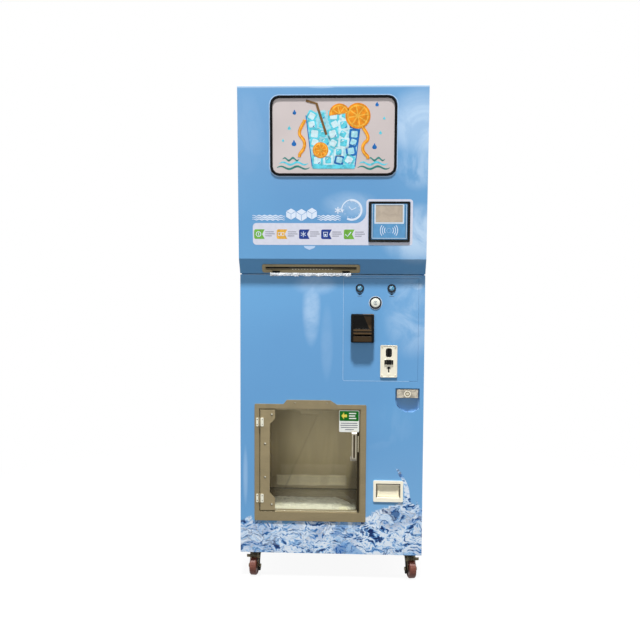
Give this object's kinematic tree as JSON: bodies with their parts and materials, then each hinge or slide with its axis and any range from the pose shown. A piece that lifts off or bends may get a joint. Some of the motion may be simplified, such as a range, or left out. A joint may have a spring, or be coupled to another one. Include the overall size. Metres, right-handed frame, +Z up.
{
  "type": "ice vending machine",
  "caption": "Floor-standing ice vending machine on castors, with hinged upper and lower doors, payment panel, bag slot and a glazed ice pick-up hatch.",
  "frame": {"origin": "middle of the bounding box at floor level, between the castors", "axes": "+Z up, +Y from the front towards the back, +X to the right as seen from the front"},
  "size_m": [0.7326, 0.8422, 1.952],
  "materials": {
    "aluminium": "satin",
    "black_plastic": "satin",
    "black_rubber": "matte",
    "blue_paint": "satin",
    "blue_wrap": "gloss",
    "brass": "satin",
    "button_blue": "gloss",
    "button_white": "gloss",
    "copper": "satin",
    "dark_steel": "satin",
    "film": "gloss",
    "glass": "polished",
    "grey_paint": "satin",
    "grey_plastic": "satin",
    "maroon_wheel": "satin",
    "membrane": "satin",
    "sign_print": "gloss",
    "steel": "satin",
    "white_plastic": "satin",
    "zinc": "satin"
  },
  "bodies": {
    "cabinet": {"auger_gearmotor": "grey_paint", "back_panel": "blue_paint", "base_plate": "dark_steel", "compressor": "dark_steel", "condenser": "aluminium", "control_box": "grey_paint", "discharge_chute": "steel", "drain_outlet": "grey_plastic", "evaporator": "copper", "hopper_deck": "zinc", "ice_hopper": "white_plastic", "ice_maker_deck": "zinc", "left_side_panel": "blue_wrap", "mid_rail": "zinc", "pickup_compartment": "steel", "power_inlet": "black_plastic", "right_side_panel": "blue_wrap", "top_panel": "blue_wrap", "water_inlet_valve": "brass", "water_sump": "white_plastic"},
    "lower_door": {"lower_door_panel": "blue_wrap", "payment_panel": "blue_wrap", "left_button_housing": "steel", "right_button_housing": "steel", "main_button_housing": "steel", "bill_acceptor": "black_plastic", "coin_acceptor": "steel", "lock_plate": "steel", "coin_return_cup": "steel", "ice_door_frame": "steel"},
    "upper_door": {"upper_door_panel": "blue_wrap", "sign_edging": "black_rubber", "sign_lens": "sign_print", "sign_light_box": "white_plastic", "card_reader": "membrane", "bag_slot_bezel": "steel", "roll_bracket": "zinc"},
    "ice_door": {"ice_door_glass": "glass", "ice_door_hinge_strip": "steel", "ice_door_handle": "steel"},
    "lock": {"lock_cylinder": "steel"},
    "left_button": {"left_button_cap": "button_blue"},
    "right_button": {"right_button_cap": "button_blue"},
    "main_button": {"main_button_cap": "button_white"},
    "coin_reject": {"coin_reject_button": "black_plastic"},
    "coin_flap": {"coin_return_flap": "steel"},
    "auger_screw": {"auger": "steel"},
    "fan": {"condenser_fan": "black_plastic"},
    "gate": {"discharge_gate": "steel"},
    "roll": {"bag_roll": "film"},
    "front_left_fork": {"front_left_castor_fork": "zinc"},
    "front_left_wheel": {"front_left_castor_wheel": "maroon_wheel"},
    "front_left_brake": {"front_left_castor_brake": "black_plastic"},
    "front_right_fork": {"front_right_castor_fork": "zinc"},
    "front_right_wheel": {"front_right_castor_wheel": "maroon_wheel"},
    "front_right_brake": {"front_right_castor_brake": "black_plastic"},
    "rear_left_fork": {"rear_left_castor_fork": "zinc"},
    "rear_left_wheel": {"rear_left_castor_wheel": "maroon_wheel"},
    "rear_right_fork": {"rear_right_castor_fork": "zinc"},
    "rear_right_wheel": {"rear_right_castor_wheel": "maroon_wheel"}
  },
  "joints": [
    {"name": "lower_door_hinge", "type": "hinge", "parent": "cabinet", "child": "lower_door", "pos_m": [-0.36375, -0.29807, 0.106], "axis": [0, 0, -1], "range_deg": [0, 105]},
    {"name": "upper_door_hinge", "type": "hinge", "parent": "cabinet", "child": "upper_door", "pos_m": [-0.36375, -0.29807, 1.233], "axis": [0, 0, -1], "range_deg": [0, 105]},
    {"name": "ice_door_hinge", "type": "hinge", "parent": "lower_door", "child": "ice_door", "pos_m": [-0.28625, -0.34737, 0.279], "axis": [0, 0, -1], "range_deg": [0, 100]},
    {"name": "lock_turn", "type": "hinge", "parent": "lower_door", "child": "lock", "pos_m": [0.30225, -0.33887, 0.7597], "axis": [0, 1, 0], "range_deg": [0, 90]},
    {"name": "left_button_press", "type": "slide", "parent": "lower_door", "child": "left_button", "axis": [0, 1, 0], "range_m": [0, 0.003], "stiffness_N_per_m": 200, "springref_m": -0.002},
    {"name": "right_button_press", "type": "slide", "parent": "lower_door", "child": "right_button", "axis": [0, 1, 0], "range_m": [0, 0.003], "stiffness_N_per_m": 200, "springref_m": -0.002},
    {"name": "main_button_press", "type": "slide", "parent": "lower_door", "child": "main_button", "axis": [0, 1, 0], "range_m": [0, 0.003], "stiffness_N_per_m": 250, "springref_m": -0.002},
    {"name": "coin_reject_press", "type": "slide", "parent": "lower_door", "child": "coin_reject", "axis": [0, 1, 0], "range_m": [0, 0.004], "stiffness_N_per_m": 200, "springref_m": -0.002},
    {"name": "coin_return_flap_hinge", "type": "hinge", "parent": "lower_door", "child": "coin_flap", "pos_m": [0.22975, -0.33287, 0.388], "axis": [1, 0, 0], "range_deg": [0, 60]},
    {"name": "auger_spin", "type": "hinge", "parent": "cabinet", "child": "auger_screw", "pos_m": [-0.14875, -0.25997, 0.8056], "axis": [0, 1, 0], "continuous": true},
    {"name": "condenser_fan_spin", "type": "hinge", "parent": "cabinet", "child": "fan", "pos_m": [0.18325, 0.28933, 0.2543], "axis": [0, 1, 0], "continuous": true},
    {"name": "discharge_gate_hinge", "type": "hinge", "parent": "cabinet", "child": "gate", "pos_m": [-0.14875, -0.13827, 0.6888], "axis": [1, 0, 0], "range_deg": [0, 60], "stiffness_Nm_per_rad": 0.3, "springref_deg": -28.65},
    {"name": "bag_roll_spin", "type": "hinge", "parent": "upper_door", "child": "roll", "pos_m": [-0.08225, -0.34387, 1.386], "axis": [1, 0, 0], "continuous": true},
    {"name": "front_left_castor_swivel", "type": "hinge", "parent": "cabinet", "child": "front_left_fork", "pos_m": [-0.30975, -0.26887, 0.0897], "axis": [0, 0, 1], "continuous": true},
    {"name": "front_left_wheel_spin", "type": "hinge", "parent": "front_left_fork", "child": "front_left_wheel", "pos_m": [-0.31254, -0.30075, 0.0375], "axis": [0.9962, -0.0872, 0], "continuous": true},
    {"name": "front_left_brake_press", "type": "hinge", "parent": "front_left_fork", "child": "front_left_brake", "pos_m": [-0.31254, -0.30075, 0.0375], "axis": [0.9962, -0.0872, 0], "range_deg": [0, 20]},
    {"name": "front_right_castor_swivel", "type": "hinge", "parent": "cabinet", "child": "front_right_fork", "pos_m": [0.32225, -0.26887, 0.0897], "axis": [0, 0, 1], "continuous": true},
    {"name": "front_right_wheel_spin", "type": "hinge", "parent": "front_right_fork", "child": "front_right_wheel", "pos_m": [0.32781, -0.30038, 0.0375], "axis": [0.9848, 0.1736, 0], "continuous": true},
    {"name": "front_right_brake_press", "type": "hinge", "parent": "front_right_fork", "child": "front_right_brake", "pos_m": [0.32781, -0.30038, 0.0375], "axis": [0.9848, 0.1736, 0], "range_deg": [0, 20]},
    {"name": "rear_left_castor_swivel", "type": "hinge", "parent": "cabinet", "child": "rear_left_fork", "pos_m": [-0.30975, 0.35113, 0.0897], "axis": [0, 0, 1], "continuous": true},
    {"name": "rear_left_wheel_spin", "type": "hinge", "parent": "rear_left_fork", "child": "rear_left_wheel", "pos_m": [-0.30201, 0.32008, 0.0375], "axis": [0.9703, 0.2419, 0], "continuous": true},
    {"name": "rear_right_castor_swivel", "type": "hinge", "parent": "cabinet", "child": "rear_right_fork", "pos_m": [0.32225, 0.35113, 0.0897], "axis": [0, 0, 1], "continuous": true},
    {"name": "rear_right_wheel_spin", "type": "hinge", "parent": "rear_right_fork", "child": "rear_right_wheel", "pos_m": [0.3178, 0.31944, 0.0375], "axis": [0.9903, -0.1392, 0], "continuous": true}
  ]
}
